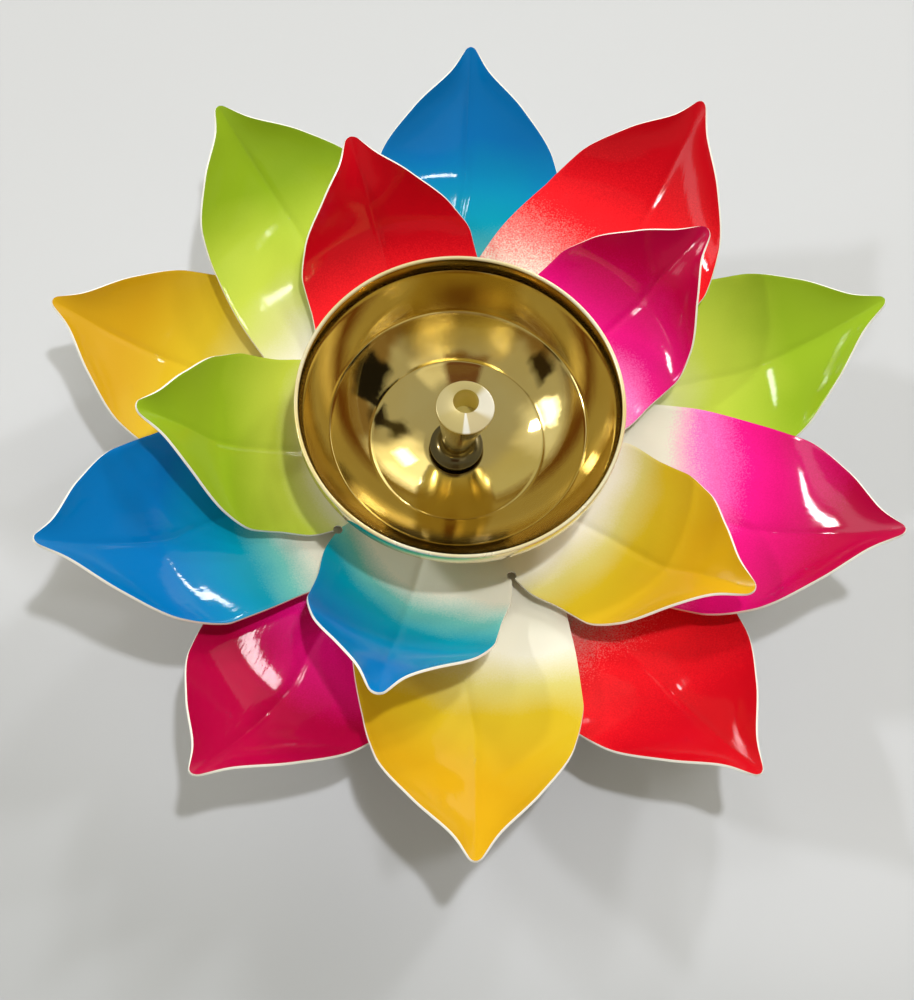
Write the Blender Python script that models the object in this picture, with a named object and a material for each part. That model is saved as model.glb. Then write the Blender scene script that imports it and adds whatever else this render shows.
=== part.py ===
# Lotus diya: a brass oil bowl on three tiers of stamped and enamelled petals, clamped on a pressed foot.
# Metres, +Z up. The origin is on the table, under the middle of the bowl.

import math

import bmesh
import bpy
from mathutils import Vector

# Fits
GAP = 0.0003  # running gap between pieces that touch
STUD_CLEARANCE = 0.0003  # between the stud and the hole it passes through

# Pressed foot
FOOT_HEIGHT = 0.0102
FOOT_SHEET = 0.0008
FOOT_TOP_RADIUS = 0.0150
FOOT_SKIRT_RADIUS = 0.0230  # where the skirt meets the brim
FOOT_BRIM_WIDTH = 0.0050
FOOT_ROUND = 0.0030  # radius of the pressed shoulder
FOOT_ROUND_END = 20.0  # slope at which the shoulder runs into the skirt, in degrees from level

# Clamping hardware, M6
STUD_RADIUS = 0.0030
STUD_TAIL = 0.0006  # thread that shows under the nut
NUT_ACROSS_FLATS = 0.0100
NUT_THICKNESS = 0.0050
FOOT_WASHER_RADIUS = 0.0060
FOOT_WASHER_THICKNESS = 0.0016
SEAL_WASHER_RADIUS = 0.0058
SEAL_WASHER_THICKNESS = 0.0005

# Petal tiers
PETALS = 5
PETAL_SHEET = 0.0006
HUB_FLAT_RADIUS = 0.0140
SPACER_RADIUS = 0.0100
LOWER_SPACER_THICKNESS = 0.0032
UPPER_SPACER_THICKNESS = 0.0018
RELIEF_RADIUS = 0.0011  # round end of the slot between two petals
RELIEF_PIN_LENGTH = 0.0200
SLOT_OPENING = 0.02  # least sideways opening of the slot on each side, per length from its end
CREASE_SHARPNESS = 0.3  # 0 gives a round trough, 1 a straight-sided V
FOLD_DEPTH = 0.0008  # the pressed line down the middle of a petal
FOLD_WIDTH = 0.0045  # sideways distance over which the fold dies out
FOLD_START_RADIUS = 0.0168
FOLD_RUN_IN = 0.0140  # length over which the fold deepens from its start
FOLD_RUN_OUT = 0.25  # share of the petal over which it fades before the tip
BEND_SHARE = 0.5  # share of the petal over which it is tilted and leant
TIP_FLANK_ANGLE = 31.0  # slope at which the flanks run into the rounded tip, in degrees

# A petal's stations run from 0 at the slot end to 1 at the tip
OUTER_PETAL = {
    "slot_radius": 0.0410,
    "reach": 0.1030,
    "tip_radius": 0.0016,
    "half_width": (
        (0.16, 0.0248),
        (0.32, 0.0255),
        (0.48, 0.0250),
        (0.64, 0.0220),
        (0.78, 0.0139),
        (0.91, 0.0046),
    ),
    "rise": ((0.0, 0.0040), (0.27, 0.0090), (0.54, 0.0116), (0.78, 0.0186), (1.0, 0.0280)),
    "edge_lift": ((0.0, 0.0014), (0.30, 0.0019), (0.54, 0.0031), (0.78, 0.0044), (1.0, 0.0)),
}
INNER_PETAL = {
    "slot_radius": 0.0360,
    "reach": 0.0770,
    "tip_radius": 0.0020,
    "half_width": (
        (0.16, 0.0226),
        (0.31, 0.0219),
        (0.45, 0.0219),
        (0.58, 0.0189),
        (0.71, 0.0114),
        (0.85, 0.0048),
    ),
    "rise": ((0.0, 0.0036), (0.28, 0.0066), (0.52, 0.0110), (0.75, 0.0195), (1.0, 0.0250)),
    "edge_lift": ((0.0, 0.0014), (0.28, 0.0015), (0.52, 0.0021), (0.75, 0.0036), (1.0, 0.0)),
}

# How each petal was bent by hand, in the order of the colours: lean sideways, tilt up and twist
# in degrees, then the sideways sweep and the drawing in of the tip in metres
LOWER_TURN = -47.0  # direction of the first petal, in degrees
LOWER_BENDS = (
    (2.9, -2.7, -1.7, -0.0026, -0.0027),
    (4.5, -2.2, -1.9, -0.0067, 0.0015),
    (-1.2, -6.0, 0.3, 0.0001, 0.0),
    (-3.0, -1.1, -1.5, 0.0006, -0.0016),
    (-3.0, 0.0, 3.4, 0.0033, -0.0052),
)
MIDDLE_TURN = 61.0
MIDDLE_BENDS = (
    (-4.4, 1.0, -0.5, 0.0070, -0.0010),
    (-2.0, 2.1, 2.8, 0.0049, -0.0012),
    (3.0, -0.8, -9.0, -0.0039, -0.0003),
    (4.7, 5.4, -3.2, -0.0046, 0.0036),
    (-2.7, -1.0, 3.3, 0.0034, 0.0018),
)
UPPER_TURN = 117.0
UPPER_BENDS = (
    (-1.0, 3.2, -0.6, 0.0009, 0.0007),
    (-0.3, 1.1, 5.1, 0.0004, -0.0001),
    (-2.0, 1.0, 7.0, 0.0019, -0.0014),
    (-0.6, 14.0, 7.4, 0.0016, 0.0045),
    (2.5, 8.2, -9.0, -0.0036, 0.0040),
)

# Cast and turned bowl
BOWL_RIM_RADIUS = 0.0380
BOWL_HEIGHT = 0.0286
BOWL_WALL = 0.0016
BOWL_LIP_WIDTH = 0.0009
BOWL_BAND = 0.0040  # upright band under the lip
BOWL_BAND_FLARE = 0.0001  # how far the band leans out
BOWL_BOSS_RADIUS = 0.0120
BOWL_SEAT_RADIUS = 0.0074  # flat turned seat in the floor
GROOVE_DEPTH = 0.0003
GROOVE_WIDTH = 0.0008
GROOVE_RADII = (0.0207, 0.0302)
LIP_ROUND = 0.0004

# Turned wick post
POST_TOP_BELOW_RIM = 0.0019
POST_DISC_RADIUS = 0.00675
POST_DISC_THICKNESS = 0.0009
POST_EDGE = 0.0003  # small bevel on the disc and on the stud's end
POST_SHOULDER_RADIUS = 0.0055
POST_SHOULDER_DROP = 0.0070
POST_NECK_RADIUS = 0.0033
POST_NECK_ABOVE_FLANGE = 0.0020
POST_FLANGE_RADIUS = 0.0064
POST_FLANGE_THICKNESS = 0.0007
WICK_HOLE_RADIUS = 0.0030
WICK_HOLE_DEPTH = 0.0090
WICK_HOLE_OFFSET = 0.0015

# Drills run past the faces they cut through
DRILL_OVERRUN = 0.0010

# Facets
BOWL_SEGMENTS = 64
POST_SEGMENTS = 48
RING_SEGMENTS = 32
DRILL_SEGMENTS = 24
PIN_SEGMENTS = 12
NUT_SIDES = 6
PETAL_ROWS = 11
TIP_ROW_ANGLES = (TIP_FLANK_ANGLE, 60.0)  # rows on the rounded tip, in degrees round it
PETAL_PLACES = (1.0, 0.55, 0.1, 0.0, -0.1, -0.55, -1.0)  # columns of a petal, from edge to edge
PETAL_COLUMNS = len(PETAL_PLACES) - 1
HUB_ROWS = 3
DISH_STEPS = 4
CORNER_STEPS = 3
MERGE_DISTANCE = 0.000001
TURNED_SMOOTH_ANGLE = 35.0  # sharper corners than this stay sharp, in degrees
SHEET_SMOOTH_ANGLE = 50.0

# Heights worked out from the stack, from the table up
LOWER_HUB_TOP = FOOT_HEIGHT + GAP + PETAL_SHEET
LOWER_SPACER_BOTTOM = LOWER_HUB_TOP + GAP
MIDDLE_HUB_TOP = LOWER_SPACER_BOTTOM + LOWER_SPACER_THICKNESS + GAP + PETAL_SHEET
UPPER_SPACER_BOTTOM = MIDDLE_HUB_TOP + GAP
UPPER_HUB_TOP = UPPER_SPACER_BOTTOM + UPPER_SPACER_THICKNESS + GAP + PETAL_SHEET
BOWL_BOTTOM = UPPER_HUB_TOP + GAP
RIM_HEIGHT = BOWL_BOTTOM + BOWL_HEIGHT
FOOT_WASHER_BOTTOM = FOOT_HEIGHT - FOOT_SHEET - GAP - FOOT_WASHER_THICKNESS
NUT_BOTTOM = FOOT_WASHER_BOTTOM - GAP - NUT_THICKNESS
HOLE_RADIUS = STUD_RADIUS + STUD_CLEARANCE

# The dish of the bowl is part of a sphere: outside it runs from the band down to the boss face
DISH_MOUTH_RADIUS = BOWL_RIM_RADIUS - BOWL_BAND_FLARE
DISH_DEPTH = BOWL_HEIGHT - BOWL_BAND
DISH_OUTER_CURVE = (DISH_MOUTH_RADIUS**2 + DISH_DEPTH**2) / (2 * DISH_DEPTH)
DISH_INNER_CURVE = DISH_OUTER_CURVE - BOWL_WALL
DISH_CENTRE_HEIGHT = BOWL_BOTTOM + DISH_OUTER_CURVE
FLOOR_SEAT_HEIGHT = DISH_CENTRE_HEIGHT - math.sqrt(DISH_INNER_CURVE**2 - BOWL_SEAT_RADIUS**2)
SEAL_WASHER_BOTTOM = FLOOR_SEAT_HEIGHT + GAP
POST_FLANGE_BOTTOM = SEAL_WASHER_BOTTOM + SEAL_WASHER_THICKNESS + GAP

# Colour, roughness and metallic value of each finish
BRASS = (0.72, 0.52, 0.20, 1.0)
ZINC_STEEL = (0.55, 0.55, 0.56, 1.0)
FINISHES = {
    "red_enamel": ((0.78, 0.01, 0.03, 1.0), 0.2, 0.0),
    "magenta_enamel": ((0.75, 0.01, 0.20, 1.0), 0.2, 0.0),
    "yellow_enamel": ((0.80, 0.45, 0.03, 1.0), 0.2, 0.0),
    "blue_enamel": ((0.01, 0.20, 0.50, 1.0), 0.2, 0.0),
    "green_enamel": ((0.32, 0.50, 0.04, 1.0), 0.2, 0.0),
    "white_enamel": ((0.80, 0.78, 0.72, 1.0), 0.25, 0.0),
    "bowl_brass": (BRASS, 0.15, 1.0),
    "post_brass": (BRASS, 0.15, 1.0),
    "washer_steel": (ZINC_STEEL, 0.35, 1.0),
    "nut_steel": (ZINC_STEEL, 0.35, 1.0),
    "spacer_steel": (ZINC_STEEL, 0.35, 1.0),
    "seal_rubber": ((0.03, 0.03, 0.03, 1.0), 0.8, 0.0),
}
PETAL_FINISHES = ("red_enamel", "magenta_enamel", "yellow_enamel", "blue_enamel", "green_enamel")


def clear_scene():
    for obj in list(bpy.data.objects):
        bpy.data.objects.remove(obj, do_unlink=True)


def material(name):
    colour, roughness, metallic = FINISHES[name]
    found = bpy.data.materials.get(name) or bpy.data.materials.new(name)
    found.use_nodes = True
    shader = found.node_tree.nodes["Principled BSDF"]
    shader.inputs["Base Color"].default_value = colour
    shader.inputs["Roughness"].default_value = roughness
    shader.inputs["Metallic"].default_value = metallic
    return found


def add_object(name, mesh_builder, finishes):
    """Turns a finished bmesh into a named object of the scene."""
    mesh = bpy.data.meshes.new(name)
    mesh_builder.to_mesh(mesh)
    mesh_builder.free()
    for finish in finishes:
        mesh.materials.append(material(finish))
    obj = bpy.data.objects.new(name, mesh)
    bpy.context.scene.collection.objects.link(obj)
    return obj


def add_prism(builder, radius, length, sides, place):
    """An upright prism with its middle at the place."""
    made = bmesh.ops.create_cone(
        builder,
        cap_ends=True,
        segments=sides,
        radius1=radius,
        radius2=radius,
        depth=length,
    )
    bmesh.ops.translate(builder, verts=made["verts"], vec=place)


def shade_round(obj, sharp_angle):
    obj.data.shade_smooth()
    obj.data.set_sharp_from_angle(angle=math.radians(sharp_angle))


def add_cutter(name, mesh_builder):
    cutter = add_object(name, mesh_builder, [])
    cutter.hide_render = True
    cutter.display_type = "WIRE"
    return cutter


def add_drill(name, radius, length, sides, place):
    """An upright cutter about the middle of its length."""
    builder = bmesh.new()
    add_prism(builder, radius, length, sides, place)
    return add_cutter(name, builder)


def cut(obj, cutter):
    modifier = obj.modifiers.new("Cut " + cutter.name, "BOOLEAN")
    modifier.operation = "DIFFERENCE"
    modifier.solver = "EXACT"
    modifier.object = cutter


def arc(centre, radius, start, end, steps):
    """Points of an arc in the radius and height plane, with its angles in degrees from +X."""
    points = []
    for step in range(steps + 1):
        angle = math.radians(start + (end - start) * step / steps)
        points.append((centre[0] + radius * math.cos(angle), centre[1] + radius * math.sin(angle)))
    return points


def turned(name, profile, segments, finish, closed):
    """A turned piece: its profile of radius and height points is spun once round the Z axis.
    A closed profile makes a ring, and an open one starts and ends on the axis."""
    builder = bmesh.new()
    corners = [builder.verts.new((radius, 0.0, height)) for radius, height in profile]
    edges = [builder.edges.new(pair) for pair in zip(corners, corners[1:])]
    if closed:
        edges.append(builder.edges.new((corners[-1], corners[0])))
    bmesh.ops.spin(
        builder,
        geom=corners + edges,
        cent=(0.0, 0.0, 0.0),
        axis=(0.0, 0.0, 1.0),
        angle=math.tau,
        steps=segments,
        use_merge=True,
    )
    bmesh.ops.remove_doubles(builder, verts=builder.verts[:], dist=MERGE_DISTANCE)
    bmesh.ops.recalc_face_normals(builder, faces=builder.faces[:])
    obj = add_object(name, builder, [finish])
    shade_round(obj, TURNED_SMOOTH_ANGLE)
    return obj


def washer(name, radius, bottom, thickness, finish):
    top = bottom + thickness
    profile = [(HOLE_RADIUS, bottom), (radius, bottom), (radius, top), (HOLE_RADIUS, top)]
    return turned(name, profile, RING_SEGMENTS, finish, closed=True)


def smooth_through(stations, at):
    """Height of a smooth curve through the stations, which never swings past them."""
    places = [station[0] for station in stations]
    values = [station[1] for station in stations]
    last = len(stations) - 2
    slopes = [(values[i + 1] - values[i]) / (places[i + 1] - places[i]) for i in range(last + 1)]

    def tangent(i):
        if i == 0:
            return slopes[0]
        if i == last + 1:
            return slopes[-1]
        before = slopes[i - 1]
        after = slopes[i]
        return 0.0 if before * after <= 0.0 else 2.0 * before * after / (before + after)

    span = 0
    while span < last and at > places[span + 1]:
        span += 1
    width = places[span + 1] - places[span]
    t = min(max((at - places[span]) / width, 0.0), 1.0)
    return (
        values[span] * (1.0 + 2.0 * t) * (1.0 - t) ** 2
        + tangent(span) * width * t * (1.0 - t) ** 2
        + values[span + 1] * t * t * (3.0 - 2.0 * t)
        - tangent(span + 1) * width * t * t * (1.0 - t)
    )


def tip_row_radius(shape, angle):
    """Radius from the stud of a row that lies this many degrees round the rounded tip."""
    tip = shape["tip_radius"]
    return shape["reach"] - tip + tip * math.sin(math.radians(angle))


def petal_half_width(shape, radius):
    """Half the width of a petal's outline: a smooth ogee that ends in a rounded tip. Near the slot
    the petal stays clear of its neighbour."""
    slot = shape["slot_radius"]
    tip = shape["tip_radius"]
    flank_end = tip_row_radius(shape, TIP_FLANK_ANGLE)
    if radius > flank_end:
        return math.sqrt(max(tip**2 - (radius - shape["reach"] + tip) ** 2, 0.0))
    length = shape["reach"] - slot
    start = (0.0, slot * math.sin(math.pi / PETALS))
    end = ((flank_end - slot) / length, tip * math.cos(math.radians(TIP_FLANK_ANGLE)))
    width = smooth_through((start,) + shape["half_width"] + (end,), (radius - slot) / length)
    return min(width, radius * math.sin(math.pi / PETALS) - SLOT_OPENING * (radius - slot))


def petal_section(shape, radius):
    """Half angle, rise and edge lift of the sheet at this radius from the stud."""
    slot = shape["slot_radius"]
    if radius <= slot:
        share = max((radius - HUB_FLAT_RADIUS) / (slot - HUB_FLAT_RADIUS), 0.0)
        dished = share * share * (2.0 - share)
        return math.pi / PETALS, shape["rise"][0][1] * dished, shape["edge_lift"][0][1] * dished
    along = (radius - slot) / (shape["reach"] - slot)
    rise = smooth_through(shape["rise"], along)
    lift = smooth_through(shape["edge_lift"], along)
    return math.asin(petal_half_width(shape, radius) / radius), rise, lift


def fold(shape, radius, sideways):
    """Depth of the pressed line at a point of the petal."""
    along = (radius - shape["slot_radius"]) / (shape["reach"] - shape["slot_radius"])
    run_in = min(max((radius - FOLD_START_RADIUS) / FOLD_RUN_IN, 0.0), 1.0)
    run_out = min((1.0 - along) / FOLD_RUN_OUT, 1.0)
    return FOLD_DEPTH * run_in * run_out * math.exp(-abs(sideways) / FOLD_WIDTH)


def petal_point(shape, radius, across, direction, bends):
    """A point of the sheet's top face. across runs from -1 to 1 between the petal's edges."""
    half_angle, rise, lift = petal_section(shape, radius)
    lean, tilt, twist, sweep, draw_in = bends
    x = radius * math.cos(across * half_angle)
    y = radius * math.sin(across * half_angle)
    z = rise + lift * (CREASE_SHARPNESS * abs(across) + (1.0 - CREASE_SHARPNESS) * across * across)
    z -= fold(shape, radius, y)
    slot = shape["slot_radius"]
    along = max((radius - slot) / (shape["reach"] - slot), 0.0)
    bent = along * along * (3.0 - 2.0 * along)
    z += y * math.radians(twist) * along
    z += (x - slot) * math.sin(math.radians(tilt)) * min(along / BEND_SHARE, 1.0)
    x -= draw_in * along * along
    y += sweep * along * along
    angle = direction + math.radians(lean) * min(bent / BEND_SHARE, 1.0)
    return Vector((x * math.cos(angle) - y * math.sin(angle), x * math.sin(angle) + y * math.cos(angle), z))


def hub_radii(shape):
    """Rings of the hub, from the stud's hole to the slot ends."""
    slot = shape["slot_radius"]
    outer = [HUB_FLAT_RADIUS + (slot - HUB_FLAT_RADIUS) * row / HUB_ROWS for row in range(HUB_ROWS + 1)]
    return [HOLE_RADIUS] + outer


def petal_radii(shape):
    """Rows of a petal past the slot ends: even ones down the flanks, then closer ones round the tip."""
    slot = shape["slot_radius"]
    flank_end = tip_row_radius(shape, TIP_FLANK_ANGLE)
    flank = [slot + (flank_end - slot) * row / PETAL_ROWS for row in range(1, PETAL_ROWS)]
    return flank + [tip_row_radius(shape, angle) for angle in TIP_ROW_ANGLES]


def relief_cutter(name, shape, turn, height):
    """Upright pins that round off the slot ends."""
    builder = bmesh.new()
    slot = shape["slot_radius"]
    for petal in range(PETALS):
        angle = math.radians(turn) - (petal + 0.5) * math.tau / PETALS
        place = Vector((slot * math.cos(angle), slot * math.sin(angle), height))
        add_prism(builder, RELIEF_RADIUS, RELIEF_PIN_LENGTH, PIN_SEGMENTS, place)
    return add_cutter(name, builder)


def add_hub(builder, shape, turn):
    """The dished hub of a tier. Returns its outermost ring of points."""
    straight = (0.0, 0.0, 0.0, 0.0, 0.0)
    around = PETALS * PETAL_COLUMNS
    inner = []
    for radius in hub_radii(shape):
        ring = []
        for petal in range(PETALS):
            direction = math.radians(turn) - petal * math.tau / PETALS
            for across in PETAL_PLACES[:-1]:
                ring.append(builder.verts.new(petal_point(shape, radius, across, direction, straight)))
        if inner:
            for i in range(around):
                j = (i + 1) % around
                builder.faces.new((inner[i], inner[j], ring[j], ring[i]))
        inner = ring
    return inner


def add_petal(builder, shape, direction, bends, row, material_index):
    """One petal, from the points of the hub's edge to the tip."""
    for radius in petal_radii(shape):
        following = []
        for across in PETAL_PLACES:
            following.append(builder.verts.new(petal_point(shape, radius, across, direction, bends)))
        for column in range(PETAL_COLUMNS):
            corners = (row[column], row[column + 1], following[column + 1], following[column])
            builder.faces.new(corners).material_index = material_index
        row = following
    tip = builder.verts.new(petal_point(shape, shape["reach"], 0.0, direction, bends))
    for column in range(PETAL_COLUMNS):
        builder.faces.new((row[column], row[column + 1], tip)).material_index = material_index


def petal_tier(name, shape, turn, bends, hub_top):
    """One stamped tier: a flat hub that opens into five dished petals with ogee tips and a raised edge."""
    builder = bmesh.new()
    ring = add_hub(builder, shape, turn)
    for petal in range(PETALS):
        direction = math.radians(turn) - petal * math.tau / PETALS
        first = petal * PETAL_COLUMNS
        row = [ring[(first + column) % len(ring)] for column in range(PETAL_COLUMNS + 1)]
        add_petal(builder, shape, direction, bends[petal], row, petal)
    bmesh.ops.recalc_face_normals(builder, faces=builder.faces[:])
    for face in builder.faces:
        if face.normal.z < 0.0:
            face.normal_flip()
    bmesh.ops.translate(builder, verts=builder.verts[:], vec=(0.0, 0.0, hub_top))
    tier = add_object(name, builder, PETAL_FINISHES)
    shade_round(tier, SHEET_SMOOTH_ANGLE)
    wall = tier.modifiers.new("Sheet", "SOLIDIFY")
    wall.thickness = PETAL_SHEET
    wall.offset = -1.0
    wall.use_even_offset = True
    cut(tier, relief_cutter(name + "_relief_pins", shape, turn, hub_top))
    return tier


def foot():
    """A pressed cup turned upside down, with a flat brim on the table and a flat top for the hub."""
    top = FOOT_HEIGHT
    sheet = FOOT_SHEET
    brim_radius = FOOT_SKIRT_RADIUS + FOOT_BRIM_WIDTH
    shoulder = FOOT_TOP_RADIUS
    inner_round = FOOT_ROUND - sheet
    outside = arc((shoulder, top - FOOT_ROUND), FOOT_ROUND, 90.0, FOOT_ROUND_END, CORNER_STEPS)
    inside = arc((shoulder, top - FOOT_ROUND), inner_round, FOOT_ROUND_END, 90.0, CORNER_STEPS)
    profile = [(HOLE_RADIUS, top)] + outside
    profile += [(FOOT_SKIRT_RADIUS, sheet), (brim_radius, sheet), (brim_radius, 0.0)]
    profile += [(FOOT_SKIRT_RADIUS - sheet, 0.0)] + inside + [(HOLE_RADIUS, top - sheet)]
    return turned("foot", profile, RING_SEGMENTS, "white_enamel", closed=True)


def dish_angle(radius, curve):
    """Angle on the dish's arc, in degrees, at which it has this radius."""
    return -math.degrees(math.acos(radius / curve))


def dish_run(outer_radius, inner_radius, steps):
    """Points down the inside of the dish between two radii."""
    centre = (0.0, DISH_CENTRE_HEIGHT)
    start = dish_angle(outer_radius, DISH_INNER_CURVE)
    end = dish_angle(inner_radius, DISH_INNER_CURVE)
    return arc(centre, DISH_INNER_CURVE, start, end, steps)


def groove(radius):
    """A fine turned line: three points, the middle one sunk into the wall."""
    half = GROOVE_WIDTH / 2.0
    centre = (0.0, DISH_CENTRE_HEIGHT)
    angle = dish_angle(radius, DISH_INNER_CURVE)
    return [
        arc(centre, DISH_INNER_CURVE, dish_angle(radius + half, DISH_INNER_CURVE), angle, 1)[0],
        arc(centre, DISH_INNER_CURVE + GROOVE_DEPTH, angle, angle, 1)[0],
        arc(centre, DISH_INNER_CURVE, dish_angle(radius - half, DISH_INNER_CURVE), angle, 1)[0],
    ]


def bowl():
    """The cast bowl, turned inside with three fine grooves, with a flat seat for the wick post."""
    rim = RIM_HEIGHT
    band_bottom = rim - BOWL_BAND
    centre = (0.0, DISH_CENTRE_HEIGHT)
    half = GROOVE_WIDTH / 2.0
    mouth = math.sqrt(DISH_INNER_CURVE**2 - (DISH_CENTRE_HEIGHT - band_bottom) ** 2)
    small_groove, large_groove = GROOVE_RADII
    lip = arc((BOWL_RIM_RADIUS - LIP_ROUND, rim - LIP_ROUND), LIP_ROUND, 0.0, 90.0, CORNER_STEPS)
    inner_lip = BOWL_RIM_RADIUS - BOWL_LIP_WIDTH + LIP_ROUND
    lip += arc((inner_lip, rim - LIP_ROUND), LIP_ROUND, 90.0, 180.0, CORNER_STEPS)
    profile = lip + [(mouth, band_bottom + half), (mouth + GROOVE_DEPTH, band_bottom)]
    profile += dish_run(mouth - half, large_groove + half, DISH_STEPS)[:-1]
    profile += groove(large_groove)
    profile += dish_run(large_groove - half, small_groove + half, DISH_STEPS)[1:-1]
    profile += groove(small_groove)
    profile += dish_run(small_groove - half, BOWL_SEAT_RADIUS, DISH_STEPS)[1:]
    profile += [(HOLE_RADIUS, FLOOR_SEAT_HEIGHT), (HOLE_RADIUS, BOWL_BOTTOM), (BOWL_BOSS_RADIUS, BOWL_BOTTOM)]
    start = dish_angle(BOWL_BOSS_RADIUS + GAP, DISH_OUTER_CURVE)
    end = dish_angle(DISH_MOUTH_RADIUS, DISH_OUTER_CURVE)
    profile += arc(centre, DISH_OUTER_CURVE, start, end, 2 * DISH_STEPS)
    return turned("bowl", profile, BOWL_SEGMENTS, "bowl_brass", closed=True)


def wick_post():
    """The turned post: a flat disc on a tapered stem, a flared flange, and the stud that clamps the stack."""
    top = RIM_HEIGHT - POST_TOP_BELOW_RIM
    flange_top = POST_FLANGE_BOTTOM + POST_FLANGE_THICKNESS
    neck = flange_top + POST_NECK_ABOVE_FLANGE
    stud_end = NUT_BOTTOM - STUD_TAIL
    profile = [(0.0, top), (POST_DISC_RADIUS - POST_EDGE, top), (POST_DISC_RADIUS, top - POST_EDGE)]
    profile += [(POST_DISC_RADIUS, top - POST_DISC_THICKNESS)]
    profile += [(POST_SHOULDER_RADIUS, top - POST_SHOULDER_DROP), (POST_NECK_RADIUS, neck)]
    flare = POST_FLANGE_RADIUS - POST_NECK_RADIUS
    for step in range(1, CORNER_STEPS + 1):
        angle = math.radians(90.0 * step / CORNER_STEPS)
        radius = POST_NECK_RADIUS + flare * (1.0 - math.cos(angle))
        profile.append((radius, neck - POST_NECK_ABOVE_FLANGE * math.sin(angle)))
    profile += [(POST_FLANGE_RADIUS, POST_FLANGE_BOTTOM), (STUD_RADIUS, POST_FLANGE_BOTTOM)]
    profile += [(STUD_RADIUS, stud_end + POST_EDGE), (STUD_RADIUS - POST_EDGE, stud_end), (0.0, stud_end)]
    post = turned("wick_post", profile, POST_SEGMENTS, "post_brass", closed=False)
    length = WICK_HOLE_DEPTH + DRILL_OVERRUN
    place = (0.0, WICK_HOLE_OFFSET, top + DRILL_OVERRUN - length / 2.0)
    cut(post, add_drill("wick_hole_drill", WICK_HOLE_RADIUS, length, DRILL_SEGMENTS, place))
    return post


def clamp_nut():
    """A hexagon nut on the stud's end."""
    builder = bmesh.new()
    place = (0.0, 0.0, NUT_BOTTOM + NUT_THICKNESS / 2.0)
    corner_radius = NUT_ACROSS_FLATS / 2.0 / math.cos(math.pi / NUT_SIDES)
    add_prism(builder, corner_radius, NUT_THICKNESS, NUT_SIDES, place)
    nut = add_object("clamp_nut", builder, ["nut_steel"])
    length = NUT_THICKNESS + 2.0 * DRILL_OVERRUN
    cut(nut, add_drill("nut_bore_drill", HOLE_RADIUS, length, RING_SEGMENTS, place))
    return nut


def build():
    clear_scene()
    foot()
    washer("foot_washer", FOOT_WASHER_RADIUS, FOOT_WASHER_BOTTOM, FOOT_WASHER_THICKNESS, "washer_steel")
    clamp_nut()
    petal_tier("lower_tier", OUTER_PETAL, LOWER_TURN, LOWER_BENDS, LOWER_HUB_TOP)
    washer("lower_spacer", SPACER_RADIUS, LOWER_SPACER_BOTTOM, LOWER_SPACER_THICKNESS, "spacer_steel")
    petal_tier("middle_tier", OUTER_PETAL, MIDDLE_TURN, MIDDLE_BENDS, MIDDLE_HUB_TOP)
    washer("upper_spacer", SPACER_RADIUS, UPPER_SPACER_BOTTOM, UPPER_SPACER_THICKNESS, "spacer_steel")
    petal_tier("upper_tier", INNER_PETAL, UPPER_TURN, UPPER_BENDS, UPPER_HUB_TOP)
    bowl()
    washer("seal_washer", SEAL_WASHER_RADIUS, SEAL_WASHER_BOTTOM, SEAL_WASHER_THICKNESS, "seal_rubber")
    wick_post()


build()
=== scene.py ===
import math

import bmesh
import bpy
from mathutils import Euler, Matrix, Vector


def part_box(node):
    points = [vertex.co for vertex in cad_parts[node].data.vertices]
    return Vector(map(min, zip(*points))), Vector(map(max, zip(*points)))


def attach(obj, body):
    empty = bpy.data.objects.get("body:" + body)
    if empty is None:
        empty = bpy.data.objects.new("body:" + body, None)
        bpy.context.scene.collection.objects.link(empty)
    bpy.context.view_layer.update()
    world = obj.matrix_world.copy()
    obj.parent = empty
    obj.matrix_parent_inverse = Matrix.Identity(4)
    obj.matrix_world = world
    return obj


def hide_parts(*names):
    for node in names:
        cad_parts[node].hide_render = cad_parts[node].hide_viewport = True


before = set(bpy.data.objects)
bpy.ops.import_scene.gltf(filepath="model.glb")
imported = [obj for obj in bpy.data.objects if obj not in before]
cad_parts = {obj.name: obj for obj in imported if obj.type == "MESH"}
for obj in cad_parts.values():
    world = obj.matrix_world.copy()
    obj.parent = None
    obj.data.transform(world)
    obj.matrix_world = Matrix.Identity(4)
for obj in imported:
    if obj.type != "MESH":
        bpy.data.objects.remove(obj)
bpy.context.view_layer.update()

mm = 0.001
axisZ = (0.0, 0.0, 1.0)
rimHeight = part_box("bowl")[1].z  # everything in the bowl is measured down from its rim


# Camera, floor and light

view = {
    "place": (3.0 * mm, -166.0 * mm, 352.0 * mm),  # from the middle of the rim
    "elevation": 68.07,
    "azimuth": 0.52,
    "roll": 5.94,
    "lens": 61.3,
}


def makeCamera():
    data = bpy.data.cameras.new("camera")
    data.lens = view["lens"]
    data.sensor_width = 36.0
    data.clip_start = 0.01
    camera = bpy.data.objects.new("camera", data)
    bpy.context.scene.collection.objects.link(camera)
    tilt = Matrix.Rotation(math.radians(90.0 - view["elevation"]), 4, "X")
    turn = Matrix.Rotation(math.radians(view["azimuth"]), 4, "Z")
    roll = Matrix.Rotation(math.radians(view["roll"]), 4, "Z")
    place = Matrix.Translation(Vector(view["place"]) + Vector((0.0, 0.0, rimHeight)))
    camera.matrix_world = place @ turn @ tilt @ roll
    bpy.context.scene.camera = camera


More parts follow.
